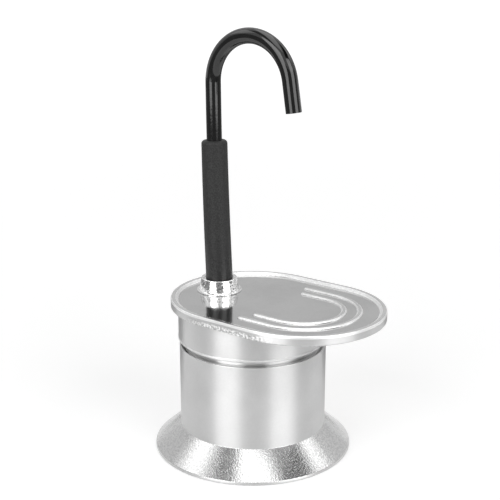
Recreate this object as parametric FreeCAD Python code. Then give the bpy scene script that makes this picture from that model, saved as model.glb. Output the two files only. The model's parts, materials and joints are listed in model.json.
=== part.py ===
import FreeCAD, Part
import math
import os

# One-cup espresso maker. A flared boiler holds the water, a funnel in its neck holds the coffee, and the
# head screwed on top carries a platform for the cup and a bent spout that pours into it.
# Millimetres. The origin is the centre of the base, on the boiler's axis. +Z is up and +X runs along the
# platform, towards the cup.

# Boiler
BODY_RADIUS = 31.0
FOOT_FLARE = 10.9
FOOT_EDGE_HEIGHT = 1.3
FOOT_EDGE_ROUND = 0.4
FOOT_HEIGHT = 10.8
SHOULDER_HEIGHT = 46.25
SHOULDER_ROUND = 0.35
SHOULDER_THICKNESS = 3.0
BOILER_WALL = 2.6
BOILER_FLOOR = 3.0
BOILER_INNER_ROUND = 2.0
NECK_STEP = 3.4
NECK_HEIGHT = 10.75
NECK_WALL = 2.4
NECK_CHAMFER = 0.5
NECK_FOOT_STEP = 2.4
NECK_FOOT_HEIGHT = 1.7
BASE_GROOVE_RADII = (13.0, 26.0)
BASE_GROOVE_WIDTH = 1.2
BASE_GROOVE_DEPTH = 0.3

# Thread between boiler and head, single start, right hand
HEAD_THREAD_DEPTH = 1.0
HEAD_THREAD_PITCH = 3.0
HEAD_THREAD_CLEARANCE = 0.25
HEAD_THREAD_FLANK_GAP = 0.35
HEAD_THREAD_FLANK_ANGLE = 24.0
HEAD_THREAD_BURY = 0.3
NECK_THREAD_START = 3.35
NECK_THREAD_END = 1.4
SKIRT_THREAD_END = 1.1

# Funnel with stem and screen
FUNNEL_RIM_INSET = 0.4
FUNNEL_RIM_THICKNESS = 1.0
FUNNEL_NECK_CLEARANCE = 0.3
FUNNEL_WALL = 0.9
BASKET_DEPTH = 11.5
FUNNEL_CONE_HEIGHT = 7.5
FUNNEL_SOCKET_LENGTH = 6.0
STEM_RADIUS = 4.0
STEM_WALL = 0.7
STEM_FLOOR_GAP = 3.5
SCREEN_LEDGE = 1.5
SCREEN_THICKNESS = 0.7
PLATE_SLACK = 0.1
PERFORATION_RADIUS = 0.7
PERFORATION_SPACING = 3.6
PERFORATIONS_PER_RING = 6

# Head: skirt, chamber under the platform, platform with lip and beads
SEAM_GAP = 2.5
SKIRT_OVERHANG = 0.4
SKIRT_EDGE_ROUND = 0.4
SKIRT_LIP_HEIGHT = 0.9
SKIRT_LIP_WIDTH = 0.2
SKIRT_LEAD_IN = 0.6
GASKET_THICKNESS = 2.5
GASKET_WIDTH = 3.1
GASKET_ROUND = 0.4
FILTER_PLATE_THICKNESS = 0.8
FILTER_PLATE_SEAT = 1.5
CHAMBER_DEPTH = 2.0
PLATFORM_THICKNESS = 2.8
PLATFORM_OVERHANG = 3.0
PLATFORM_REACH = 25.2
PLATFORM_FILLET = 1.0
PLATFORM_UNDER_ROUND = 0.5
LIP_HEIGHT = 1.2
LIP_WIDTH = 1.9
LIP_SLOPE = 1.4
LIP_OUTER_ROUND = 0.6
LIP_INNER_ROUND = 0.4
BEAD_SHIFT = 0.4
BEAD_INSETS = (11.35, 17.8)
BEAD_LEGS = (14.0, 11.2)
BEAD_WIDTH = 2.7
BEAD_TOP_WIDTH = 1.2
BEAD_HEIGHT = 0.7
BEAD_ROUND = 0.35
BEAD_BURY = 0.5

# Spout tube and its sleeve; the tube leans back a little, bows upright again and ends in a hook
TUBE_RADIUS = 3.2
TUBE_WALL = 0.7
SPOUT_STRAIGHT = 1.2
LEAN_ANGLE = 2.9
LEAN_RADIUS = 60.0
BOW_ANGLE = 2.5
BOW_LENGTH = 79.5
HOOK_RADIUS = 19.36
HOOK_ANGLE = 171.4
TIP_LENGTH = 12.35
SLEEVE_LENGTH = 59.6
SLEEVE_FOOT_WALL = 2.5
SLEEVE_TOP_WALL = 2.22
SLEEVE_TOP_ROUND = 1.4

# Spout fitting: nipple with seal and lock nut, spout seal, ferrule and collar nut
TUBE_RUNNING_FIT = 0.06
TUBE_ENGAGEMENT = 2.3
TUBE_END_GAP = 0.1
SPIGOT_WALL = 1.7
LOCK_NUT_WIDTH = 1.4
LOCK_NUT_THICKNESS = 1.2
LOCK_NUT_MARGIN = 0.4
NIPPLE_WALL = 2.14
NIPPLE_SEAL_THICKNESS = 0.4
NIPPLE_FLANGE_WIDTH = 1.2
NIPPLE_FLANGE_THICKNESS = 0.6
NIPPLE_THREAD_HEIGHT = 2.3
NIPPLE_THREAD_DEPTH = 0.4
NIPPLE_THREAD_PITCH = 1.0
NIPPLE_THREAD_CLEARANCE = 0.15
NIPPLE_THREAD_FLANK_GAP = 0.12
NIPPLE_THREAD_FLANK_ANGLE = 30.0
NIPPLE_THREAD_BURY = 0.15
SPOUT_SEAL_INSET = 0.3
SPOUT_SEAL_THICKNESS = 0.7
FERRULE_INSET = 0.4
FERRULE_THICKNESS = 0.6
COLLAR_INNER_GAP = 0.2
COLLAR_WALL = 1.4
COLLAR_FLANGE_WIDTH = 0.95
COLLAR_FLANGE_THICKNESS = 0.6
COLLAR_FLANGE_ROUND = 0.25
COLLAR_FOOT_FILLET = 0.5
COLLAR_WEB = 0.6
COLLAR_WEB_CLEARANCE = 0.3
COLLAR_SOCKET_DEPTH = 0.7
COLLAR_SOCKET_CLEARANCE = 0.3
COLLAR_TOP_WALL = 1.6
COLLAR_TOP_ROUND = 0.4

# Safety valve, on the side of the boiler that faces +Y
VALVE_BELOW_SHOULDER = 12.25
VALVE_BOSS_MARGIN = 1.1
VALVE_PAD_OUT = 1.2
VALVE_PAD_IN = 1.4
VALVE_HOLE_CLEARANCE = 0.05
VALVE_INLET_RADIUS = 1.3
VALVE_CHAMBER_RADIUS = 2.3
VALVE_SHANK_WALL = 0.9
VALVE_SHANK_END = 0.8
VALVE_WASHER_WIDTH = 2.2
VALVE_WASHER_THICKNESS = 0.8
VALVE_BARREL_WALL = 1.9
VALVE_BARREL_LENGTH = 3.0
VALVE_HEX_STEP = 0.8
VALVE_HEX_THICKNESS = 2.4
VALVE_NUT_WALL = 1.3
VALVE_NUT_THICKNESS = 3.0
HEX_CHAMFER_ANGLE = 30.0
VALVE_PLUNGER_GAP = 0.3
VALVE_PLUNGER_HEAD = 0.7
VALVE_SEAT_GAP = 0.1
VALVE_STEM_RADIUS = 0.9
VALVE_STEM_CLEARANCE = 0.25
VALVE_STEM_OUT = 1.2
VALVE_CAP_THICKNESS = 1.0
VALVE_CAP_ROUND = 0.4
VALVE_CAP_SPIGOT = 0.7
VALVE_SPRING_LENGTH = 4.2
VALVE_SPRING_WIRE = 0.4
VALVE_SPRING_CLEARANCE = 0.45
VALVE_SPRING_TURNS = 4

# Radii that follow from the sizes above
foot_radius = BODY_RADIUS + FOOT_FLARE
boiler_bore = BODY_RADIUS - BOILER_WALL
neck_radius = BODY_RADIUS - NECK_STEP
neck_foot_radius = BODY_RADIUS - NECK_FOOT_STEP
neck_bore = neck_radius - NECK_WALL
head_bore = neck_radius + HEAD_THREAD_DEPTH + HEAD_THREAD_CLEARANCE
skirt_radius = BODY_RADIUS + SKIRT_OVERHANG
platform_radius = skirt_radius + PLATFORM_OVERHANG
basket_radius = neck_bore - FUNNEL_NECK_CLEARANCE
basket_bore = basket_radius - FUNNEL_WALL
gasket_radius = head_bore - PLATE_SLACK
gasket_bore = gasket_radius - GASKET_WIDTH
filter_plate_radius = gasket_bore - PLATE_SLACK
chamber_radius = filter_plate_radius - FILTER_PLATE_SEAT
outlet_radius = TUBE_RADIUS - TUBE_WALL
tube_bore = TUBE_RADIUS + TUBE_RUNNING_FIT
spigot_radius = outlet_radius + SPIGOT_WALL
lock_nut_radius = spigot_radius + LOCK_NUT_WIDTH
spout_offset = chamber_radius - LOCK_NUT_MARGIN - lock_nut_radius
nipple_radius = tube_bore + NIPPLE_WALL
nipple_flange_radius = nipple_radius + NIPPLE_THREAD_DEPTH + NIPPLE_FLANGE_WIDTH
collar_bore = nipple_radius + NIPPLE_THREAD_DEPTH + NIPPLE_THREAD_CLEARANCE
collar_recess = nipple_flange_radius + COLLAR_INNER_GAP
collar_foot_radius = collar_recess + COLLAR_WALL
sleeve_foot_radius = TUBE_RADIUS + SLEEVE_FOOT_WALL
collar_socket = sleeve_foot_radius + COLLAR_SOCKET_CLEARANCE
valve_shank_radius = VALVE_CHAMBER_RADIUS + VALVE_SHANK_WALL
valve_washer_radius = valve_shank_radius + VALVE_WASHER_WIDTH
valve_boss_radius = valve_washer_radius + VALVE_BOSS_MARGIN
valve_barrel_radius = VALVE_CHAMBER_RADIUS + VALVE_BARREL_WALL

# Heights that follow from the sizes above
neck_foot_z = SHOULDER_HEIGHT + NECK_FOOT_HEIGHT
skirt_z = SHOULDER_HEIGHT + SEAM_GAP
rim_z = SHOULDER_HEIGHT + NECK_HEIGHT
neck_thread_z = SHOULDER_HEIGHT + NECK_THREAD_START
skirt_thread_z = neck_thread_z + HEAD_THREAD_PITCH / 2
gasket_z = rim_z + FUNNEL_RIM_THICKNESS
seat_z = gasket_z + GASKET_THICKNESS
ceiling_z = seat_z + CHAMBER_DEPTH
floor_z = ceiling_z + PLATFORM_THICKNESS
lip_z = floor_z + LIP_HEIGHT
nipple_z = floor_z + NIPPLE_SEAL_THICKNESS
nipple_thread_z = nipple_z + NIPPLE_FLANGE_THICKNESS
nipple_top_z = nipple_thread_z + NIPPLE_THREAD_HEIGHT
tube_end_z = nipple_top_z - TUBE_ENGAGEMENT
ferrule_z = nipple_top_z + SPOUT_SEAL_THICKNESS
web_z = ferrule_z + FERRULE_THICKNESS
sleeve_z = web_z + COLLAR_WEB
collar_top_z = sleeve_z + COLLAR_SOCKET_DEPTH
valve_z = SHOULDER_HEIGHT - VALVE_BELOW_SHOULDER
valve_pad_depth = VALVE_PAD_OUT + BOILER_WALL + VALVE_PAD_IN

Vec = FreeCAD.Vector
ORIGIN = Vec(0, 0, 0)
X_AXIS = Vec(1, 0, 0)
Z_AXIS = Vec(0, 0, 1)
FULL_TURN = 360
HALF_TURN = 180
QUARTER_TURN = 90


def outline(corners):
    """Closed face in the XZ plane. A corner is (x, z), or (x, z, radius) where it is rounded."""
    places = [Vec(corner[0], 0, corner[1]) for corner in corners]
    stretches = []
    for index, corner in enumerate(corners):
        here = places[index]
        if len(corner) == 2:
            stretches.append((here, None, here))
            continue
        to_before = (places[index - 1] - here).normalize()
        to_after = (places[(index + 1) % len(places)] - here).normalize()
        half_angle = to_before.getAngle(to_after) / 2
        reach = corner[2] / math.tan(half_angle)
        middle_reach = corner[2] / math.sin(half_angle) - corner[2]
        middle = here + (to_before + to_after).normalize() * middle_reach
        stretches.append((here + to_before * reach, middle, here + to_after * reach))
    edges = []
    for index, (first, middle, last) in enumerate(stretches):
        if middle is not None:
            edges.append(Part.Arc(first, middle, last).toShape())
        following = stretches[(index + 1) % len(stretches)][0]
        edges.append(Part.LineSegment(last, following).toShape())
    return Part.Face(Part.Wire(edges))


def turned(corners):
    """Solid of revolution about Z from (radius, height) corners."""
    return outline(corners).revolve(ORIGIN, Z_AXIS, FULL_TURN)


def ring(inner, outer, low, high):
    """Plain washer about Z."""
    return turned([(inner, low), (outer, low), (outer, high), (inner, high)])


def cylinder(radius, low, high, x=0, y=0):
    """Upright cylinder between two heights."""
    return Part.makeCylinder(radius, high - low, Vec(x, y, low))


def crest_width(pitch, depth, flank_gap, flank_angle):
    """Flat on a thread's ridge that leaves flank_gap beside an equal ridge of the mating thread."""
    return pitch / 2 - flank_gap - depth * math.tan(math.radians(flank_angle))


def thread_ridge(wall, crest, bury, pitch, start, end, flat, flank_angle):
    """Right-hand helical ridge from a wall radius to a crest radius, its foot buried in the wall."""
    foot = wall + math.copysign(bury, wall - crest)
    half_crest = flat / 2
    half_foot = half_crest + abs(foot - crest) * math.tan(math.radians(flank_angle))
    section = Part.makePolygon([
        Vec(foot, 0, start - half_foot),
        Vec(crest, 0, start - half_crest),
        Vec(crest, 0, start + half_crest),
        Vec(foot, 0, start + half_foot),
        Vec(foot, 0, start - half_foot),
    ])
    helix = Part.makeHelix(pitch, end - start, wall)
    helix.translate(Vec(0, 0, start))
    return Part.Wire(helix).makePipeShell([section], True, True)


def head_thread(wall, crest, start, end):
    """Ridge of the thread between boiler and head."""
    flat = crest_width(HEAD_THREAD_PITCH, HEAD_THREAD_DEPTH, HEAD_THREAD_FLANK_GAP, HEAD_THREAD_FLANK_ANGLE)
    return thread_ridge(wall, crest, HEAD_THREAD_BURY, HEAD_THREAD_PITCH,
                        start, end, flat, HEAD_THREAD_FLANK_ANGLE)


def perforations(reach, low, high):
    """Pins for a round pattern of holes: one in the middle and rings that grow by the same count."""
    pins = [cylinder(PERFORATION_RADIUS, low, high)]
    rings = int((reach - PERFORATION_RADIUS) / PERFORATION_SPACING)
    for ring_number in range(1, rings):
        radius = ring_number * PERFORATION_SPACING
        count = PERFORATIONS_PER_RING * ring_number
        for place in range(count):
            angle = 2 * math.pi * place / count
            x = radius * math.cos(angle)
            y = radius * math.sin(angle)
            pins.append(cylinder(PERFORATION_RADIUS, low, high, x, y))
    return Part.makeCompound(pins)


def hexagon(half_flats, low, high):
    """Hexagonal prism, with its corners chamfered at both ends."""
    sides = 6
    corner = half_flats / math.cos(math.pi / sides)
    points = []
    for side in range(sides + 1):
        angle = 2 * math.pi * side / sides
        points.append(Vec(corner * math.cos(angle), corner * math.sin(angle), low))
    prism = Part.Face(Part.makePolygon(points)).extrude(Vec(0, 0, high - low))
    chamfer = (corner - half_flats) * math.tan(math.radians(HEX_CHAMFER_ANGLE))
    blank = turned([
        (0, low),
        (half_flats, low),
        (corner, low + chamfer),
        (corner, high - chamfer),
        (half_flats, high),
        (0, high),
    ])
    return prism.common(blank)


def at_spout(shape):
    """Moves a shape made about the Z axis to the spout's axis."""
    return shape.translated(Vec(-spout_offset, 0, 0))


def at_valve(shape):
    """Turns a shape made about Z to point along +Y, with its zero height on the valve boss's outer face."""
    moved = shape.rotated(ORIGIN, X_AXIS, -QUARTER_TURN)
    return moved.translated(Vec(0, BODY_RADIUS + VALVE_PAD_OUT, valve_z))


def make_boiler():
    flare = FOOT_FLARE / (FOOT_HEIGHT - FOOT_EDGE_HEIGHT)
    level_wall = BOILER_WALL * math.hypot(1, flare)
    foot_bore = BODY_RADIUS + (FOOT_HEIGHT - BOILER_FLOOR) * flare - level_wall
    inner_crease = FOOT_HEIGHT - (level_wall - BOILER_WALL) / flare
    inner_shoulder = SHOULDER_HEIGHT - SHOULDER_THICKNESS
    shell = turned([
        (0, 0),
        (foot_radius, 0, FOOT_EDGE_ROUND),
        (foot_radius, FOOT_EDGE_HEIGHT, FOOT_EDGE_ROUND),
        (BODY_RADIUS, FOOT_HEIGHT),
        (BODY_RADIUS, SHOULDER_HEIGHT, SHOULDER_ROUND),
        (neck_foot_radius, SHOULDER_HEIGHT),
        (neck_foot_radius, neck_foot_z),
        (neck_radius, neck_foot_z),
        (neck_radius, rim_z - NECK_CHAMFER),
        (neck_radius - NECK_CHAMFER, rim_z),
        (neck_bore, rim_z),
        (neck_bore, inner_shoulder),
        (boiler_bore, inner_shoulder - (boiler_bore - neck_bore), BOILER_INNER_ROUND),
        (boiler_bore, inner_crease, BOILER_INNER_ROUND),
        (foot_bore, BOILER_FLOOR, BOILER_INNER_ROUND),
        (0, BOILER_FLOOR),
    ])
    boss = at_valve(cylinder(valve_boss_radius, -valve_pad_depth, 0))
    hole = at_valve(cylinder(valve_shank_radius + VALVE_HOLE_CLEARANCE, -valve_pad_depth, 0))
    crest = neck_radius + HEAD_THREAD_DEPTH
    ridge = head_thread(neck_radius, crest, neck_thread_z, rim_z - NECK_THREAD_END)
    half_groove = BASE_GROOVE_WIDTH / 2
    cuts = [hole]
    for radius in BASE_GROOVE_RADII:
        cuts.append(ring(radius - half_groove, radius + half_groove, 0, BASE_GROOVE_DEPTH))
    return shell.multiFuse([boss, ridge]).cut(cuts)


def half_round(profile, x, start_angle):
    """The profile turned half way about an upright axis on the platform's long axis."""
    end = profile.revolve(ORIGIN, Z_AXIS, HALF_TURN)
    return end.rotated(ORIGIN, Z_AXIS, start_angle).translated(Vec(x, 0, 0))


def straight_sides(profile, x, length):
    """The profile extruded along X on both sides of the platform's long axis."""
    sides = []
    for angle in (QUARTER_TURN, -QUARTER_TURN):
        upright = profile.rotated(ORIGIN, Z_AXIS, angle)
        sides.append(upright.translated(Vec(x, 0, 0)).extrude(Vec(length, 0, 0)))
    return sides


def make_platform():
    """Pieces of the platform: two rounded ends and the straight stretch between them."""
    lip_inside = platform_radius - LIP_WIDTH
    profile = outline([
        (0, ceiling_z),
        (platform_radius, ceiling_z, PLATFORM_UNDER_ROUND),
        (platform_radius, lip_z, LIP_OUTER_ROUND),
        (lip_inside, lip_z, LIP_INNER_ROUND),
        (lip_inside - LIP_SLOPE, floor_z, LIP_INNER_ROUND),
        (0, floor_z),
    ])
    ends = [half_round(profile, 0, QUARTER_TURN), half_round(profile, PLATFORM_REACH, -QUARTER_TURN)]
    return ends + straight_sides(profile, 0, PLATFORM_REACH)


def make_bead(inset, leg):
    """Pieces of one raised U: an arc round the cup's place, two legs and their domed ends."""
    centre_x = PLATFORM_REACH + BEAD_SHIFT
    end_x = centre_x - leg
    radius = platform_radius - inset
    half_foot = BEAD_WIDTH / 2
    half_top = BEAD_TOP_WIDTH / 2
    low = floor_z - BEAD_BURY
    high = floor_z + BEAD_HEIGHT
    section = outline([
        (radius - half_foot, low),
        (radius + half_foot, low),
        (radius + half_foot, floor_z),
        (radius + half_top, high, BEAD_ROUND),
        (radius - half_top, high, BEAD_ROUND),
        (radius - half_foot, floor_z),
    ])
    dome = turned([(0, low), (half_foot, low), (half_foot, floor_z), (half_top, high, BEAD_ROUND), (0, high)])
    pieces = [half_round(section, centre_x, -QUARTER_TURN)]
    pieces += straight_sides(section, end_x, leg)
    pieces += [dome.translated(Vec(end_x, side, 0)) for side in (radius, -radius)]
    return pieces


def make_head():
    inside_platform = ceiling_z + PLATFORM_THICKNESS / 2
    lip_radius = skirt_radius + SKIRT_LIP_WIDTH
    lip_top = skirt_z + SKIRT_LIP_HEIGHT
    skirt = turned([
        (chamber_radius, seat_z),
        (head_bore, seat_z),
        (head_bore, skirt_z + SKIRT_LEAD_IN),
        (head_bore + SKIRT_LEAD_IN, skirt_z),
        (lip_radius, skirt_z, SKIRT_EDGE_ROUND),
        (lip_radius, lip_top - SKIRT_LIP_WIDTH),
        (skirt_radius, lip_top),
        (skirt_radius, ceiling_z, PLATFORM_FILLET),
        (skirt_radius + 2 * PLATFORM_FILLET, ceiling_z),
        (skirt_radius, inside_platform),
        (chamber_radius, inside_platform),
    ])
    crest = head_bore - HEAD_THREAD_DEPTH
    pieces = make_platform()
    pieces.append(head_thread(head_bore, crest, skirt_thread_z, rim_z - SKIRT_THREAD_END))
    for inset, leg in zip(BEAD_INSETS, BEAD_LEGS):
        pieces += make_bead(inset, leg)
    hole = cylinder(spigot_radius, ceiling_z, floor_z, -spout_offset)
    return skirt.multiFuse(pieces).cut(hole).removeSplitter()


def make_funnel():
    basket_floor = rim_z - BASKET_DEPTH
    cone_foot = basket_floor - FUNNEL_CONE_HEIGHT
    socket_end = cone_foot - FUNNEL_SOCKET_LENGTH
    rim_radius = neck_radius - FUNNEL_RIM_INSET
    screen_hole = basket_bore - SCREEN_LEDGE
    screen_top = basket_floor + SCREEN_THICKNESS
    funnel = turned([
        (basket_bore, gasket_z),
        (basket_bore, basket_floor),
        (screen_hole, basket_floor),
        (STEM_RADIUS, cone_foot),
        (STEM_RADIUS, socket_end),
        (STEM_RADIUS + FUNNEL_WALL, socket_end),
        (STEM_RADIUS + FUNNEL_WALL, cone_foot - FUNNEL_WALL),
        (basket_radius, basket_floor - FUNNEL_WALL),
        (basket_radius, rim_z),
        (rim_radius, rim_z),
        (rim_radius, gasket_z),
    ])
    stem = ring(STEM_RADIUS - STEM_WALL, STEM_RADIUS, BOILER_FLOOR + STEM_FLOOR_GAP, cone_foot)
    screen = cylinder(basket_bore - PLATE_SLACK, basket_floor, screen_top)
    screen = screen.cut(perforations(screen_hole, basket_floor, screen_top))
    return {"filter_funnel": funnel, "funnel_stem": stem, "funnel_screen": screen}


def make_head_seals():
    gasket = turned([
        (gasket_bore, gasket_z, GASKET_ROUND),
        (gasket_radius, gasket_z, GASKET_ROUND),
        (gasket_radius, seat_z, GASKET_ROUND),
        (gasket_bore, seat_z, GASKET_ROUND),
    ])
    plate_z = seat_z - FILTER_PLATE_THICKNESS
    plate = cylinder(filter_plate_radius, plate_z, seat_z)
    plate = plate.cut(perforations(chamber_radius, plate_z, seat_z))
    return {"gasket": gasket, "filter_plate": plate}


def make_spout_fitting():
    lock_nut_z = ceiling_z - LOCK_NUT_THICKNESS
    bore_end = tube_end_z - TUBE_END_GAP
    nipple = turned([
        (outlet_radius, lock_nut_z),
        (spigot_radius, lock_nut_z),
        (spigot_radius, nipple_z),
        (nipple_flange_radius, nipple_z),
        (nipple_flange_radius, nipple_thread_z),
        (nipple_radius, nipple_thread_z),
        (nipple_radius, nipple_top_z),
        (tube_bore, nipple_top_z),
        (tube_bore, bore_end),
        (outlet_radius, bore_end),
    ])
    flange_top = floor_z + COLLAR_FLANGE_THICKNESS
    recess_top = nipple_thread_z + COLLAR_INNER_GAP
    flange_radius = collar_foot_radius + COLLAR_FLANGE_WIDTH
    web_bore = TUBE_RADIUS + COLLAR_WEB_CLEARANCE
    collar = turned([
        (collar_recess, floor_z),
        (flange_radius, floor_z, COLLAR_FLANGE_ROUND),
        (flange_radius, flange_top, COLLAR_FLANGE_ROUND),
        (collar_foot_radius, flange_top, COLLAR_FOOT_FILLET),
        (collar_socket + COLLAR_TOP_WALL, collar_top_z, COLLAR_TOP_ROUND),
        (collar_socket, collar_top_z, COLLAR_TOP_ROUND),
        (collar_socket, sleeve_z),
        (web_bore, sleeve_z),
        (web_bore, web_z),
        (collar_bore, web_z),
        (collar_bore, recess_top),
        (collar_recess, recess_top),
    ])
    angle = NIPPLE_THREAD_FLANK_ANGLE
    pitch = NIPPLE_THREAD_PITCH
    flat = crest_width(pitch, NIPPLE_THREAD_DEPTH, NIPPLE_THREAD_FLANK_GAP, angle)
    half_ridge = flat / 2 + NIPPLE_THREAD_DEPTH * math.tan(math.radians(angle))
    start = nipple_thread_z + half_ridge
    end = nipple_top_z - half_ridge
    ridge = thread_ridge(nipple_radius, nipple_radius + NIPPLE_THREAD_DEPTH, NIPPLE_THREAD_BURY,
                         pitch, start, end, flat, angle)
    collar_ridge = thread_ridge(collar_bore, collar_bore - NIPPLE_THREAD_DEPTH, NIPPLE_THREAD_BURY,
                                pitch, start + pitch / 2, end + pitch / 2, flat, angle)
    pieces = {
        "outlet_nipple": nipple.fuse(ridge),
        "nipple_seal": ring(spigot_radius, nipple_flange_radius, floor_z, nipple_z),
        "nipple_lock_nut": ring(spigot_radius, lock_nut_radius, lock_nut_z, ceiling_z),
        "collar_nut": collar.fuse(collar_ridge),
        "spout_seal": ring(tube_bore, nipple_radius - SPOUT_SEAL_INSET, nipple_top_z, ferrule_z),
        "tube_ferrule": ring(TUBE_RADIUS, nipple_radius - FERRULE_INSET, ferrule_z, web_z),
    }
    return {name: at_spout(shape) for name, shape in pieces.items()}


def spout_line(start_z, most=math.inf):
    """Centre line of the spout from a height on its axis, up to a length, with its last place and heading.

    The heading is the angle from +Z towards +X. A stretch is a length and a radius, which is positive
    where the line turns towards +X and missing where it is straight.
    """
    stretches = (
        (sleeve_z + SPOUT_STRAIGHT - start_z, None),
        (LEAN_RADIUS * math.radians(LEAN_ANGLE), -LEAN_RADIUS),
        (BOW_LENGTH, BOW_LENGTH / math.radians(BOW_ANGLE)),
        (HOOK_RADIUS * math.radians(HOOK_ANGLE), HOOK_RADIUS),
        (TIP_LENGTH, None),
    )
    place = Vec(-spout_offset, 0, start_z)
    heading = 0
    edges = []
    for length, radius in stretches:
        length = min(length, most)
        if length <= 0:
            break
        most -= length
        if radius is None:
            end = place + Vec(math.sin(heading), 0, math.cos(heading)) * length
            edges.append(Part.LineSegment(place, end).toShape())
        else:
            turn = length / radius
            centre = place + Vec(math.cos(heading), 0, -math.sin(heading)) * radius
            middle, end = [centre - Vec(math.cos(angle), 0, -math.sin(angle)) * radius
                           for angle in (heading + turn / 2, heading + turn)]
            edges.append(Part.Arc(place, middle, end).toShape())
            heading += turn
        place = end
    return Part.Wire(edges), place, heading


def round_section(radius, place, heading):
    """Circle across the spout's centre line."""
    return Part.Wire(Part.makeCircle(radius, place, Vec(math.sin(heading), 0, math.cos(heading))))


def spout_bar(radius):
    """Round bar along the whole centre line of the spout."""
    line = spout_line(tube_end_z)[0]
    section = round_section(radius, Vec(-spout_offset, 0, tube_end_z), 0)
    return line.makePipeShell([section], True, False)


def make_spout():
    bar = spout_bar(TUBE_RADIUS)
    tube = bar.cut(spout_bar(outlet_radius))
    line, top, heading = spout_line(sleeve_z, SLEEVE_LENGTH)
    foot_section = round_section(sleeve_foot_radius, Vec(-spout_offset, 0, sleeve_z), 0)
    top_section = round_section(TUBE_RADIUS + SLEEVE_TOP_WALL, top, heading)
    sleeve = line.makePipeShell([foot_section, top_section], True, False)
    rims = [edge for edge in sleeve.Edges if edge.isClosed()]
    top_rim = max(rims, key=lambda edge: edge.CenterOfMass.z)
    sleeve = sleeve.makeFillet(SLEEVE_TOP_ROUND, [top_rim])
    return {"spout_tube": tube, "grip_sleeve": sleeve.cut(bar)}


def half_biarc(first, apex, last):
    """Arc from first to last whose tangents meet at the apex."""
    middle = (first + last) / 2
    half_turn = (apex - first).getAngle(last - first)
    rise = math.tan(half_turn / 2) / math.tan(half_turn)
    return Part.Arc(first, middle + (apex - middle) * rise, last).toShape()


def biarc(first, first_heading, last, last_heading):
    """Two arcs that leave one place along its heading and reach another along its own."""
    span = last - first
    headings = first_heading + last_heading
    along = span.dot(headings)
    spread = 4 - headings.dot(headings)
    reach = (math.sqrt(along ** 2 + span.dot(span) * spread) - along) / spread
    first_apex = first + first_heading * reach
    last_apex = last - last_heading * reach
    joint = (first_apex + last_apex) / 2
    return [half_biarc(first, first_apex, joint), half_biarc(joint, last_apex, last)]


def make_valve_spring(start):
    """Spring wound about Z from a height, its ends resting on flat faces."""
    radius = VALVE_STEM_RADIUS + VALVE_SPRING_CLEARANCE + VALVE_SPRING_WIRE / 2
    climb = (VALVE_SPRING_LENGTH - VALVE_SPRING_WIRE) / (VALVE_SPRING_TURNS * 2 * math.pi)
    first = start + VALVE_SPRING_WIRE / 2
    places = []
    headings = []
    for quarter in range(4 * VALVE_SPRING_TURNS + 1):
        angle = quarter * math.pi / 2
        places.append(Vec(radius * math.cos(angle), radius * math.sin(angle), first + climb * angle))
        headings.append(Vec(-radius * math.sin(angle), radius * math.cos(angle), climb).normalize())
    edges = []
    for quarter in range(4 * VALVE_SPRING_TURNS):
        edges += biarc(places[quarter], headings[quarter], places[quarter + 1], headings[quarter + 1])
    section = Part.Wire(Part.makeCircle(VALVE_SPRING_WIRE / 2, places[0], headings[0]))
    print("valve spring, gap between turns", round(climb * 2 * math.pi - VALVE_SPRING_WIRE, 2))
    return Part.Wire(edges).makePipeShell([section], True, False)


def make_valve():
    nut_end = -valve_pad_depth - VALVE_NUT_THICKNESS
    shank_end = nut_end - VALVE_SHANK_END
    hex_end = VALVE_WASHER_THICKNESS + VALVE_HEX_THICKNESS
    barrel_end = hex_end + VALVE_BARREL_LENGTH
    cap_end = barrel_end + VALVE_CAP_THICKNESS
    spring_end = barrel_end - VALVE_CAP_SPIGOT
    head_end = spring_end - VALVE_SPRING_LENGTH
    head_radius = VALVE_CHAMBER_RADIUS - VALVE_PLUNGER_GAP
    nose_radius = VALVE_INLET_RADIUS - VALVE_SEAT_GAP
    cone_end = head_end - VALVE_PLUNGER_HEAD
    nose_end = cone_end - (head_radius - nose_radius)
    seat_end = nose_end + VALVE_CHAMBER_RADIUS - VALVE_INLET_RADIUS
    stem_hole = VALVE_STEM_RADIUS + VALVE_STEM_CLEARANCE
    passage = turned([
        (0, shank_end),
        (VALVE_INLET_RADIUS, shank_end),
        (VALVE_INLET_RADIUS, nose_end),
        (VALVE_CHAMBER_RADIUS, seat_end),
        (VALVE_CHAMBER_RADIUS, barrel_end),
        (0, barrel_end),
    ])
    shank = cylinder(valve_shank_radius, shank_end, hex_end)
    barrel = cylinder(valve_barrel_radius, VALVE_WASHER_THICKNESS, barrel_end)
    grip = hexagon(valve_barrel_radius + VALVE_HEX_STEP, VALVE_WASHER_THICKNESS, hex_end)
    nut = hexagon(valve_shank_radius + VALVE_NUT_WALL, nut_end, -valve_pad_depth)
    plunger = turned([
        (0, nose_end),
        (nose_radius, nose_end),
        (head_radius, cone_end),
        (head_radius, head_end),
        (VALVE_STEM_RADIUS, head_end),
        (VALVE_STEM_RADIUS, cap_end + VALVE_STEM_OUT),
        (0, cap_end + VALVE_STEM_OUT),
    ])
    cap = turned([
        (stem_hole, spring_end),
        (VALVE_CHAMBER_RADIUS, spring_end),
        (VALVE_CHAMBER_RADIUS, barrel_end),
        (valve_barrel_radius, barrel_end),
        (valve_barrel_radius, cap_end, VALVE_CAP_ROUND),
        (stem_hole, cap_end),
    ])
    pieces = {
        "valve_body": grip.multiFuse([shank, barrel]).cut(passage),
        "valve_washer": ring(valve_shank_radius, valve_washer_radius, 0, VALVE_WASHER_THICKNESS),
        "valve_nut": nut.cut(cylinder(valve_shank_radius, nut_end, -valve_pad_depth)),
        "valve_plunger": plunger,
        "valve_cap": cap,
        "valve_spring": make_valve_spring(head_end),
    }
    return {name: at_valve(shape) for name, shape in pieces.items()}


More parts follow.
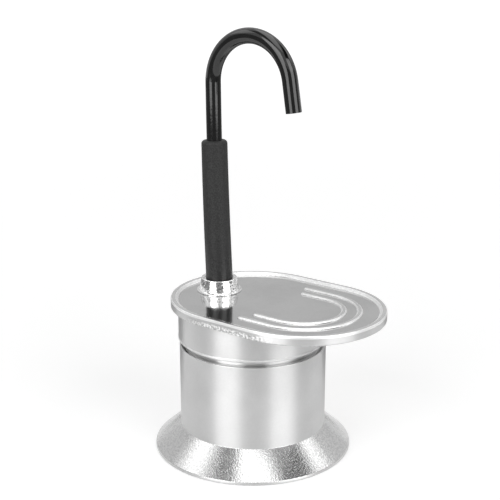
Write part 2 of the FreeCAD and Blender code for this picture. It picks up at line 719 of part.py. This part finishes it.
def main():
    nodes = {"boiler": make_boiler(), "head": make_head()}
    for group in (make_funnel(), make_head_seals(), make_spout_fitting(), make_spout(), make_valve()):
        nodes.update(group)
    os.makedirs("parts", exist_ok=True)
    for name, shape in nodes.items():
        shape.exportStep("parts/" + name + ".step")
        print(name, "solids", len(shape.Solids), "valid", shape.isValid(), "mm3", round(shape.Volume, 2))


main()
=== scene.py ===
import json
import math

import bpy
from mathutils import Matrix, Vector


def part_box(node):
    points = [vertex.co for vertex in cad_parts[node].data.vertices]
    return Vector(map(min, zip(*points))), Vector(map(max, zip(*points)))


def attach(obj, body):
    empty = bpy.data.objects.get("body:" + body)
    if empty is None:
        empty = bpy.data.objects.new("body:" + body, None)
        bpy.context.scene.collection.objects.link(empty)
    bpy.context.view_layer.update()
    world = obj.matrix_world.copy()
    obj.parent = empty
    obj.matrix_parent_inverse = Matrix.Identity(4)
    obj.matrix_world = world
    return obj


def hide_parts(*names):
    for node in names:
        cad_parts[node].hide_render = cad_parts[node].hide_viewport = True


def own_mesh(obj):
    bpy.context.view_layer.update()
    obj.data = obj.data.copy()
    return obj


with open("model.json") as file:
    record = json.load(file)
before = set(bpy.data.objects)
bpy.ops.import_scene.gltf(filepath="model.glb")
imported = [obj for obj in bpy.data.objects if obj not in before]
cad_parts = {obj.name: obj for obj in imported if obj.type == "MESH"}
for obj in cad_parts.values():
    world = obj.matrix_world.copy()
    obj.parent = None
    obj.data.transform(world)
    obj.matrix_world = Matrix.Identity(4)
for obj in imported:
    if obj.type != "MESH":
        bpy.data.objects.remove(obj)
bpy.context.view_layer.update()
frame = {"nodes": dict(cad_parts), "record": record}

# Looks of the one-cup moka pot: camera, studio and the finish of every piece.
# Metres, in the frame of the CAD part: +Z up, the cup platform along +X.
MM = 0.001

# Camera: azimuth from -Y towards +X, elevation above the horizon, aim point beside and above the origin
CAMERA_AZIMUTH = 37.394
CAMERA_ELEVATION = 16.221
CAMERA_DISTANCE = 455.66 * MM
CAMERA_AIM_SIDE = -1.19 * MM
CAMERA_AIM_HEIGHT = 86.14 * MM
CAMERA_LENS = 79.144
CAMERA_SENSOR = 36.0
CAMERA_CLIP = 10 * MM

# Floor and world: the floor's glow grows outwards, from the first reach to the second
FLOOR_SIZE = 6.0
FLOOR_DROP = 0.2 * MM
FLOOR_COLOUR = 0.62
FLOOR_GLOW = (0.50, 1.0)
FLOOR_GLOW_REACH = (0.1, 1.4)
AMBIENT = 0.20

# Softboxes: degrees to the right of the camera, degrees above the horizon, distance, width, height, radiance
LAMP_AIM_HEIGHT = 70 * MM
SOFTBOXES = {
    "softbox_left": (-38, 20.5, 0.85, 0.58, 0.88, 3.1),
    "softbox_right": (46, 20.5, 0.85, 0.60, 0.88, 3.0),
    "softbox_top": (90, 87.5, 0.80, 0.90, 0.44, 1.45),
    "softbox_back_left": (-104, 46, 0.90, 0.50, 0.36, 1.0),
    "softbox_back_right": (112, 41, 0.90, 0.40, 0.24, 1.05),
}

# Cards that only reflections show, round the object: azimuths, the edges' (radius, height), grey
CARD_STEPS = 48
CARD_RADIUS = 1.5
CARD_LOW = 2 * MM
CURVED_CARDS = {
    "card_floor": (-140, 140, (0.40, CARD_LOW), (CARD_RADIUS, CARD_LOW), 0.26),
    "card_floor_back": (125, 235, (0.10, CARD_LOW), (CARD_RADIUS, CARD_LOW), 0.38),
    "card_front": (-95, 95, (CARD_RADIUS, CARD_LOW), (CARD_RADIUS, 0.75), 0.26),
    "card_side_left": (-140, -95, (CARD_RADIUS, 0.25), (CARD_RADIUS, 1.2), 0.78),
    "card_side_right": (95, 140, (CARD_RADIUS, 0.25), (CARD_RADIUS, 1.2), 0.78),
    "card_back": (140, 220, (CARD_RADIUS, 0.20), (CARD_RADIUS, 0.90), 0.64),
}

# Level cards above the object: height, places of the left, right, near and far edges in the view, grey
HANGING_CARDS = {
    "card_left": (1.0, -0.62, -0.27, 0.9, -0.2, 0.26),
    "card_right": (1.0, 0.41, 0.90, 0.9, -0.2, 0.02),
}

# Aluminium: spans of height from the platform's floor
PLATFORM_SPAN = (-0.3 * MM, 0.0)
RAISED_SPAN = (0.08 * MM, 0.30 * MM)
# Aluminium: spans of height from the head's lower edge, between which the neck and that edge are matt and
# painted lighter, as painted light in the shaded recess under the head
NECK_START = (-2.2 * MM, -1.3 * MM)
NECK_END = (0.8 * MM, 1.0 * MM)
# Aluminium: the lower edge of the platform's front wall, with real chips in its bump and painted glints and
# shade in its colour, in height from its floor, along X and along Y
CHIPS_AND_GLINTS_LOW = (-2.9 * MM, -2.7 * MM)
CHIPS_AND_GLINTS_HIGH = (-1.2 * MM, -0.4 * MM)
CHIPS_AND_GLINTS_START = (-10 * MM, 2 * MM)
CHIPS_AND_GLINTS_END = (20 * MM, 38 * MM)
CHIPS_AND_GLINTS_FRONT = (-20 * MM, -10 * MM)
# Aluminium: the normal's upward part on level faces, and between walls and slopes
LEVEL_LIFT = (0.93, 0.99)
SLOPE_LIFT = (0.2, 0.6)
# Aluminium: the lathe's axis, tilted a little so that level faces have a tangent too
TURNING_AXIS = (0.02, 0, 1)
# Aluminium: roughness, brightness and depths; the brightness is a painted highlight on the beads and painted
# light on the neck
WALL_ROUGHNESS = 0.40
SLOPE_ROUGHNESS = 0.14
POLISHED_SHARE = 0.5
SMOOTH_GRAIN = 0.15
SCUFFED_ROUGHNESS = 0.46
# Painted highlight: how much lighter the flanks of the raised beads and lip are painted
BEAD_PAINTED_HIGHLIGHT = 0.33
SCUFFED_CREST = 0.35
NECK_ROUGHNESS = 0.69
# Painted light: how much lighter the neck in the shaded recess under the head is painted
NECK_PAINTED_LIGHT = 0.30
EDGE_ROUND = 0.5 * MM
GRAIN_DEPTH = 0.075 * MM
TOOL_LINE_DEPTH = 0.006 * MM
CHIP_DEPTH = 0.5 * MM

# Grip: the share of the sleeve's height over which its grain grows, upwards from a smooth foot
GRIP_SMOOTH_SHARE = 0.6
GRIP_GRAIN_DEPTH = 0.07 * MM
GRIP_FINE_DEPTH = 0.006 * MM

# Plain metals: darkest colour, lightest colour, span of roughness, anisotropy
METALS = {
    "spun_aluminium": ((0.60, 0.60, 0.60), (0.68, 0.68, 0.68), (0.24, 0.34), 0.5),
    "brass": ((0.55, 0.38, 0.14), (0.66, 0.48, 0.20), (0.18, 0.28), 0.0),
    "steel": ((0.50, 0.50, 0.51), (0.60, 0.60, 0.61), (0.26, 0.38), 0.0),
}

# Depths of the other finishes
METAL_GRAIN_DEPTH = 0.012 * MM
PLATE_DENT_DEPTH = 0.05 * MM
PLATE_PIT_DEPTH = 0.09 * MM
TUBE_RIPPLE_DEPTH = 0.010 * MM
SILICONE_GRAIN_DEPTH = 0.02 * MM


def link_object(name, data):
    item = bpy.data.objects.new(name, data)
    bpy.context.scene.collection.objects.link(item)
    return item


def camera_axes():
    """Directions to the right of the view, up in it and back towards the camera."""
    azimuth = math.radians(CAMERA_AZIMUTH)
    elevation = math.radians(CAMERA_ELEVATION)
    right = Vector((math.cos(azimuth), math.sin(azimuth), 0))
    level_back = Vector((math.sin(azimuth), -math.cos(azimuth), 0))
    back = level_back * math.cos(elevation) + Vector((0, 0, math.sin(elevation)))
    return right, back.cross(right), back


def make_camera():
    right, up, back = camera_axes()
    data = bpy.data.cameras.new("camera")
    data.lens = CAMERA_LENS
    data.sensor_width = CAMERA_SENSOR
    data.clip_start = CAMERA_CLIP
    camera = link_object("camera", data)
    aim = right * CAMERA_AIM_SIDE + Vector((0, 0, CAMERA_AIM_HEIGHT))
    turn = Matrix((right, up, back)).transposed().to_4x4()
    camera.matrix_world = Matrix.Translation(aim + back * CAMERA_DISTANCE) @ turn
    bpy.context.scene.camera = camera


def studio_direction(azimuth, elevation):
    """Direction from the object: degrees to the right of the camera, and above the horizon."""
    azimuth, elevation = math.radians(azimuth), math.radians(elevation)
    right = camera_axes()[0]
    front = Vector((right.y, -right.x, 0))
    level = front * math.cos(azimuth) + right * math.sin(azimuth)
    return level * math.cos(elevation) + Vector((0, 0, math.sin(elevation)))


def softbox(name, azimuth, elevation, distance, width, height, radiance):
    """Soft lamp that faces the object."""
    data = bpy.data.lights.new(name, "AREA")
    data.shape = "RECTANGLE"
    data.size = width
    data.size_y = height
    data.energy = radiance * math.pi * width * height
    lamp = link_object(name, data)
    direction = studio_direction(azimuth, elevation)
    place = Vector((0, 0, LAMP_AIM_HEIGHT)) + direction * distance
    turn = (-direction).to_track_quat("-Z", "Y").to_matrix().to_4x4()
    lamp.matrix_world = Matrix.Translation(place) @ turn
    lamp.visible_camera = False


def curved_card(name, start, end, near_edge, far_edge, grey):
    """Card round the object between two azimuths. Its edges are a radius and a height each."""
    points = []
    for step in range(CARD_STEPS + 1):
        direction = studio_direction(start + (end - start) * step / CARD_STEPS, 0)
        for radius, height in (near_edge, far_edge):
            points.append(direction * radius + Vector((0, 0, height)))
    faces = [(2 * step, 2 * step + 2, 2 * step + 3, 2 * step + 1) for step in range(CARD_STEPS)]
    add_card(name, points, faces, grey)


def hanging_card(name, height, left, right, near, far, grey):
    """Level card above the object, between two places across the view and two along it."""
    side, front = studio_direction(90, 0), studio_direction(0, 0)
    up = Vector((0, 0, height))
    corners = ((left, far), (right, far), (right, near), (left, near))
    points = [side * x + front * y + up for x, y in corners]
    add_card(name, points, [(0, 1, 2, 3)], grey)


def add_card(name, points, faces, grey):
    mesh = bpy.data.meshes.new(name)
    mesh.from_pydata(points, [], faces)
    card = link_object(name, mesh)
    card.visible_camera = False
    card.visible_diffuse = False
    card.visible_shadow = False
    material, nodes, links = new_material(name)
    nodes.clear()
    glow = nodes.new("ShaderNodeEmission")
    glow.inputs["Color"].default_value = (grey, grey, grey, 1)
    output = nodes.new("ShaderNodeOutputMaterial")
    links.new(glow.outputs["Emission"], output.inputs["Surface"])
    mesh.materials.append(material)


def seen_ray(nodes, links):
    """1 on rays that show a surface, straight or in gloss or glass, and 0 on rays that only light others."""
    path = nodes.new("ShaderNodeLightPath")
    most = path.outputs["Is Camera Ray"]
    for name in ("Is Glossy Ray", "Is Transmission Ray"):
        larger = nodes.new("ShaderNodeMath")
        larger.operation = "MAXIMUM"
        links.new(most, larger.inputs[0])
        links.new(path.outputs[name], larger.inputs[1])
        most = larger.outputs[0]
    return most


def make_world():
    """White where it is seen, and a low even light elsewhere."""
    world = bpy.data.worlds.new("studio")
    bpy.context.scene.world = world
    world.use_nodes = True
    nodes, links = world.node_tree.nodes, world.node_tree.links
    nodes.clear()
    mix = nodes.new("ShaderNodeMixShader")
    output = nodes.new("ShaderNodeOutputWorld")
    links.new(seen_ray(nodes, links), mix.inputs["Fac"])
    for index, strength in enumerate((AMBIENT, 1.0), start=1):
        sky = nodes.new("ShaderNodeBackground")
        sky.inputs["Color"].default_value = (1, 1, 1, 1)
        sky.inputs["Strength"].default_value = strength
        links.new(sky.outputs[0], mix.inputs[index])
    links.new(mix.outputs[0], output.inputs["Surface"])


def make_floor():
    """Matt pale floor, which also glows towards white where it is seen and keeps the object's shadow."""
    mesh = bpy.data.meshes.new("floor")
    half = FLOOR_SIZE / 2
    corners = [(x * half, y * half, -FLOOR_DROP) for x, y in ((-1, -1), (1, -1), (1, 1), (-1, 1))]
    mesh.from_pydata(corners, [], [(0, 1, 2, 3)])
    floor = link_object("floor", mesh)
    material, nodes, links = new_material("floor")
    nodes.clear()
    matt = nodes.new("ShaderNodeBsdfDiffuse")
    matt.inputs["Color"].default_value = (FLOOR_COLOUR, FLOOR_COLOUR, FLOOR_COLOUR, 1)
    place = nodes.new("ShaderNodeTexCoord")
    distance = nodes.new("ShaderNodeVectorMath")
    distance.operation = "LENGTH"
    links.new(place.outputs["Object"], distance.inputs[0])
    spread = nodes.new("ShaderNodeMapRange")
    spread.inputs["From Min"].default_value, spread.inputs["From Max"].default_value = FLOOR_GLOW_REACH
    spread.inputs["To Min"].default_value, spread.inputs["To Max"].default_value = FLOOR_GLOW
    links.new(distance.outputs["Value"], spread.inputs["Value"])
    strength = nodes.new("ShaderNodeMath")
    strength.operation = "MULTIPLY"
    links.new(seen_ray(nodes, links), strength.inputs[0])
    links.new(spread.outputs["Result"], strength.inputs[1])
    glow = nodes.new("ShaderNodeEmission")
    links.new(strength.outputs[0], glow.inputs["Strength"])
    both = nodes.new("ShaderNodeAddShader")
    output = nodes.new("ShaderNodeOutputMaterial")
    links.new(matt.outputs[0], both.inputs[0])
    links.new(glow.outputs[0], both.inputs[1])
    links.new(both.outputs[0], output.inputs["Surface"])
    mesh.materials.append(material)


def make_studio():
    make_world()
    make_floor()
    for name, numbers in SOFTBOXES.items():
        softbox(name, *numbers)
    for name, numbers in CURVED_CARDS.items():
        curved_card(name, *numbers)
    for name, numbers in HANGING_CARDS.items():
        hanging_card(name, *numbers)


def new_material(name):
    material = bpy.data.materials.new(name)
    material.use_nodes = True
    return material, material.node_tree.nodes, material.node_tree.links


class Finish:
    """A material with one shader, whose colour, roughness and bump come from procedural textures."""

    def __init__(self, name, edge_round=0.0, **constants):
        self.material, self.nodes, self.links = new_material(name)
        self.edge_round = edge_round
        self.shader = self.nodes["Principled BSDF"]
        for socket, value in constants.items():
            self.shader.inputs[socket].default_value = value
        self.place = self.nodes.new("ShaderNodeTexCoord").outputs["Object"]

    def feed(self, value, socket):
        if isinstance(value, bpy.types.NodeSocket):
            self.links.new(value, socket)
        else:
            socket.default_value = value

    def math(self, operation, *values):
        node = self.nodes.new("ShaderNodeMath")
        node.operation = operation
        for index, value in enumerate(values):
            self.feed(value, node.inputs[index])
        return node.outputs[0]

    def fold(self, operation, first, *others):
        """One operation over several values."""
        for other in others:
            first = self.math(operation, first, other)
        return first

    def product(self, *values):
        return self.fold("MULTIPLY", *values)

    def total(self, *values):
        return self.fold("ADD", *values)

    def largest(self, *values):
        return self.fold("MAXIMUM", *values)

    def cross(self, first, second):
        node = self.nodes.new("ShaderNodeVectorMath")
        node.operation = "CROSS_PRODUCT"
        self.feed(first, node.inputs[0])
        self.feed(second, node.inputs[1])
        return node.outputs[0]

    def split(self, vector):
        node = self.nodes.new("ShaderNodeSeparateXYZ")
        self.links.new(vector, node.inputs[0])
        return node.outputs

    def normal(self):
        return self.nodes.new("ShaderNodeTexCoord").outputs["Normal"]

    def noise(self, scale, detail, stretch=(1, 1, 1)):
        mapping = self.nodes.new("ShaderNodeMapping")
        mapping.inputs["Scale"].default_value = stretch
        self.links.new(self.place, mapping.inputs["Vector"])
        node = self.nodes.new("ShaderNodeTexNoise")
        node.inputs["Scale"].default_value = scale
        node.inputs["Detail"].default_value = detail
        self.links.new(mapping.outputs[0], node.inputs["Vector"])
        return node.outputs["Fac"]

    def ramp(self, value, low, high, start=0.0, end=1.0):
        """Smooth step from low at start to high at end."""
        node = self.nodes.new("ShaderNodeMapRange")
        node.interpolation_type = "SMOOTHSTEP"
        self.links.new(value, node.inputs["Value"])
        for socket, number in zip(("From Min", "From Max", "To Min", "To Max"), (start, end, low, high)):
            node.inputs[socket].default_value = number
        return node.outputs["Result"]

    def rise(self, value, span, base=0.0):
        """0 before the span, which is counted from base, and 1 after it."""
        return self.ramp(value, 0.0, 1.0, base + span[0], base + span[1])

    def fall(self, value, span, base=0.0):
        """1 before the span, which is counted from base, and 0 after it."""
        return self.ramp(value, 1.0, 0.0, base + span[0], base + span[1])

    def colour(self, value, dark, light, start=0.35, end=0.65):
        node = self.nodes.new("ShaderNodeMix")
        node.data_type = "RGBA"
        self.links.new(self.ramp(value, 0.0, 1.0, start, end), node.inputs["Factor"])
        node.inputs["A"].default_value = (*dark, 1)
        node.inputs["B"].default_value = (*light, 1)
        self.links.new(node.outputs["Result"], self.shader.inputs["Base Color"])

    def grey(self, value):
        node = self.nodes.new("ShaderNodeCombineColor")
        for channel in node.inputs:
            self.links.new(value, channel)
        self.links.new(node.outputs[0], self.shader.inputs["Base Color"])

    def roughness(self, value):
        self.links.new(value, self.shader.inputs["Roughness"])

    def bump(self, *layers):
        """Layers of (height, depth in metres), added up, on edges that look rounded."""
        surface = 0.0
        for height, depth in layers:
            surface = self.math("MULTIPLY_ADD", height, depth, surface)
        node = self.nodes.new("ShaderNodeBump")
        if self.edge_round:
            bevel = self.nodes.new("ShaderNodeBevel")
            bevel.inputs["Radius"].default_value = self.edge_round
            self.links.new(bevel.outputs[0], node.inputs["Normal"])
        node.inputs["Strength"].default_value = 1.0
        node.inputs["Distance"].default_value = 1.0
        self.links.new(surface, node.inputs["Height"])
        self.links.new(node.outputs["Normal"], self.shader.inputs["Normal"])

    def turned_tangent(self):
        """Highlights stretch up the slope, square to tool marks that run round the Z axis."""
        normal = self.normal()
        up_slope = self.cross(normal, self.cross(TURNING_AXIS, normal))
        self.links.new(up_slope, self.shader.inputs["Tangent"])


def cast_aluminium():
    """Satin aluminium: matt walls, smoother slopes, a polished platform, scuffs on the raised beads and lip
    with a painted highlight, a matt neck painted lighter as painted light in the recess under the head, and
    chips on the platform's lower edge with painted glints and shade.
    """
    finish = Finish("cast_aluminium", edge_round=EDGE_ROUND, Metallic=1.0, Anisotropic=0.85)
    finish.turned_tangent()
    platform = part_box("nipple_seal")[0].z
    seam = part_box("head")[0].z
    along, across, height = finish.split(finish.place)
    lift = finish.split(finish.normal())[2]
    slope = finish.math("ABSOLUTE", lift)

    # Where each kind of surface is, from 0 to 1
    level = finish.rise(lift, LEVEL_LIFT)
    polished = finish.product(finish.rise(height, PLATFORM_SPAN, platform), level)
    raised = finish.rise(height, RAISED_SPAN, platform)
    # Raised beads and lip: scuffed in roughness, and given a painted highlight in colour, strongest on their
    # flanks
    scuffed_and_highlit = finish.product(raised, finish.ramp(level, low=1.0, high=SCUFFED_CREST))
    # The neck and the head's lower edge: matt, and painted lighter as painted light in the shaded recess
    neck = finish.product(finish.rise(height, NECK_START, seam), finish.fall(height, NECK_END, seam))
    unpolished = finish.ramp(polished, low=1.0, high=SMOOTH_GRAIN)
    grainy = finish.product(unpolished, finish.ramp(slope, SMOOTH_GRAIN, 1.0, *SLOPE_LIFT))
    # The platform's front lower edge: real chips in the bump, and painted glints and shade in the colour
    chips_and_glints = finish.product(
        finish.fall(height, CHIPS_AND_GLINTS_HIGH, platform),
        finish.rise(height, CHIPS_AND_GLINTS_LOW, platform),
        finish.rise(along, CHIPS_AND_GLINTS_START),
        finish.fall(along, CHIPS_AND_GLINTS_END),
        finish.fall(across, CHIPS_AND_GLINTS_FRONT),
    )

    turned = finish.ramp(slope, WALL_ROUGHNESS, SLOPE_ROUGHNESS, *SLOPE_LIFT)
    base = finish.largest(
        finish.product(turned, finish.ramp(polished, low=1.0, high=POLISHED_SHARE)),
        finish.product(scuffed_and_highlit, SCUFFED_ROUGHNESS),
        finish.product(neck, NECK_ROUGHNESS),
    )
    cloud = finish.ramp(finish.noise(scale=60.0, detail=4.0), low=-0.02, high=0.03, start=0.3, end=0.7)
    finish.roughness(finish.total(base, cloud))

    cut = finish.noise(scale=1100.0, detail=2.0)
    specks = finish.ramp(finish.noise(scale=1250.0, detail=2.0), low=-0.07, high=0.04, start=0.3, end=0.7)
    tone = finish.total(
        finish.ramp(finish.noise(scale=35.0, detail=5.0), low=0.57, high=0.63, start=0.35, end=0.65),
        # painted highlight on the beads and lip
        finish.product(scuffed_and_highlit, BEAD_PAINTED_HIGHLIGHT),
        # painted light on the neck in the shaded recess under the head
        finish.product(neck, NECK_PAINTED_LIGHT),
        finish.product(grainy, specks),
        # painted glints and shade on the platform's lower edge, over real chips
        finish.product(chips_and_glints, finish.ramp(cut, low=-0.16, high=0.26, start=0.4, end=0.62)),
    )
    finish.grey(tone)

    grain = finish.product(finish.noise(scale=1500.0, detail=3.0), grainy)
    tool_lines = finish.noise(scale=14.0, detail=6.0, stretch=(1, 1, 260))
    chips = finish.product(chips_and_glints, cut)
    finish.bump((grain, GRAIN_DEPTH), (tool_lines, TOOL_LINE_DEPTH), (chips, CHIP_DEPTH))
    return finish.material


def metal(name):
    """Plain machined metal with a slightly clouded tone."""
    dark, light, (smoothest, roughest), anisotropy = METALS[name]
    finish = Finish(name, Metallic=1.0, Anisotropic=anisotropy)
    finish.colour(finish.noise(scale=180.0, detail=5.0), dark, light)
    finish.roughness(finish.ramp(finish.noise(scale=420.0, detail=4.0), low=smoothest, high=roughest))
    finish.bump((finish.noise(scale=1600.0, detail=3.0), METAL_GRAIN_DEPTH))
    return finish.material


def bright_plate():
    """Mottled bright plating."""
    finish = Finish("bright_plate", Metallic=1.0)
    mottle = finish.noise(scale=1400.0, detail=2.0)
    finish.colour(mottle, dark=(0.42, 0.42, 0.42), light=(0.90, 0.90, 0.90), start=0.36, end=0.50)
    finish.roughness(finish.ramp(finish.noise(scale=500.0, detail=3.0), low=0.05, high=0.11))
    dents = finish.noise(scale=420.0, detail=3.0)
    pits = finish.noise(scale=1100.0, detail=2.0)
    finish.bump((dents, PLATE_DENT_DEPTH), (pits, PLATE_PIT_DEPTH))
    return finish.material


def silicone():
    """Off-white matt silicone of the seals."""
    finish = Finish("silicone", IOR=1.42)
    cloud = finish.noise(scale=220.0, detail=4.0)
    finish.colour(cloud, dark=(0.62, 0.61, 0.57), light=(0.72, 0.71, 0.67))
    finish.roughness(finish.ramp(finish.noise(scale=600.0, detail=3.0), low=0.42, high=0.56))
    finish.bump((finish.noise(scale=1400.0, detail=3.0), SILICONE_GRAIN_DEPTH))
    return finish.material


def black_tube():
    """Gloss black coating."""
    finish = Finish("black_tube", IOR=1.56)
    cloud = finish.noise(scale=250.0, detail=5.0)
    finish.colour(cloud, dark=(0.003, 0.003, 0.003), light=(0.005, 0.005, 0.005))
    finish.roughness(finish.ramp(finish.noise(scale=700.0, detail=4.0), low=0.06, high=0.11))
    finish.bump((finish.noise(scale=900.0, detail=3.0), TUBE_RIPPLE_DEPTH))
    return finish.material


def grip_rubber():
    """Charcoal rubber, worn smooth at the sleeve's foot and grainy further up."""
    finish = Finish("grip_rubber", IOR=1.35)
    grain = finish.noise(scale=1900.0, detail=3.0)
    finish.colour(grain, dark=(0.016, 0.016, 0.016), light=(0.030, 0.030, 0.030))
    low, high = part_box("grip_sleeve")
    height = finish.split(finish.place)[2]
    fresh = finish.rise(height, (0.0, GRIP_SMOOTH_SHARE * (high.z - low.z)), low.z)
    cloud = finish.ramp(finish.noise(scale=400.0, detail=4.0), low=-0.03, high=0.05)
    finish.roughness(finish.total(finish.ramp(fresh, low=0.24, high=0.56), cloud))
    fresh_grain = finish.product(grain, fresh)
    fine_grain = finish.noise(scale=1900.0, detail=2.0)
    finish.bump((fresh_grain, GRIP_GRAIN_DEPTH), (fine_grain, GRIP_FINE_DEPTH))
    return finish.material


def dress_nodes():
    """Gives each CAD node the finish of its material slot."""
    finishes = {
        "cast_aluminium": cast_aluminium(),
        "spun_aluminium": metal("spun_aluminium"),
        "bright_plate": bright_plate(),
        "brass": metal("brass"),
        "steel": metal("steel"),
        "silicone": silicone(),
        "black_tube": black_tube(),
        "grip": grip_rubber(),
    }
    slots = {part["node"]: part["material_slot"] for part in frame["record"]["subparts"]}
    for name, node in frame["nodes"].items():
        node.data.materials.clear()
        node.data.materials.append(finishes[slots[name]])


def squeezed_coil():
    """The valve's spring as a piece of its own: a copy of the CAD spring, fixed to the boiler, with the CAD
    spring hidden.
    """
    coil = link_object("valve_coil", frame["nodes"]["valve_spring"].data.copy())
    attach(coil, "boiler")
    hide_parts("valve_spring")
    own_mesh(coil)


bpy.context.scene.view_settings.view_transform = "Standard"
make_camera()
make_studio()
dress_nodes()
squeezed_coil()
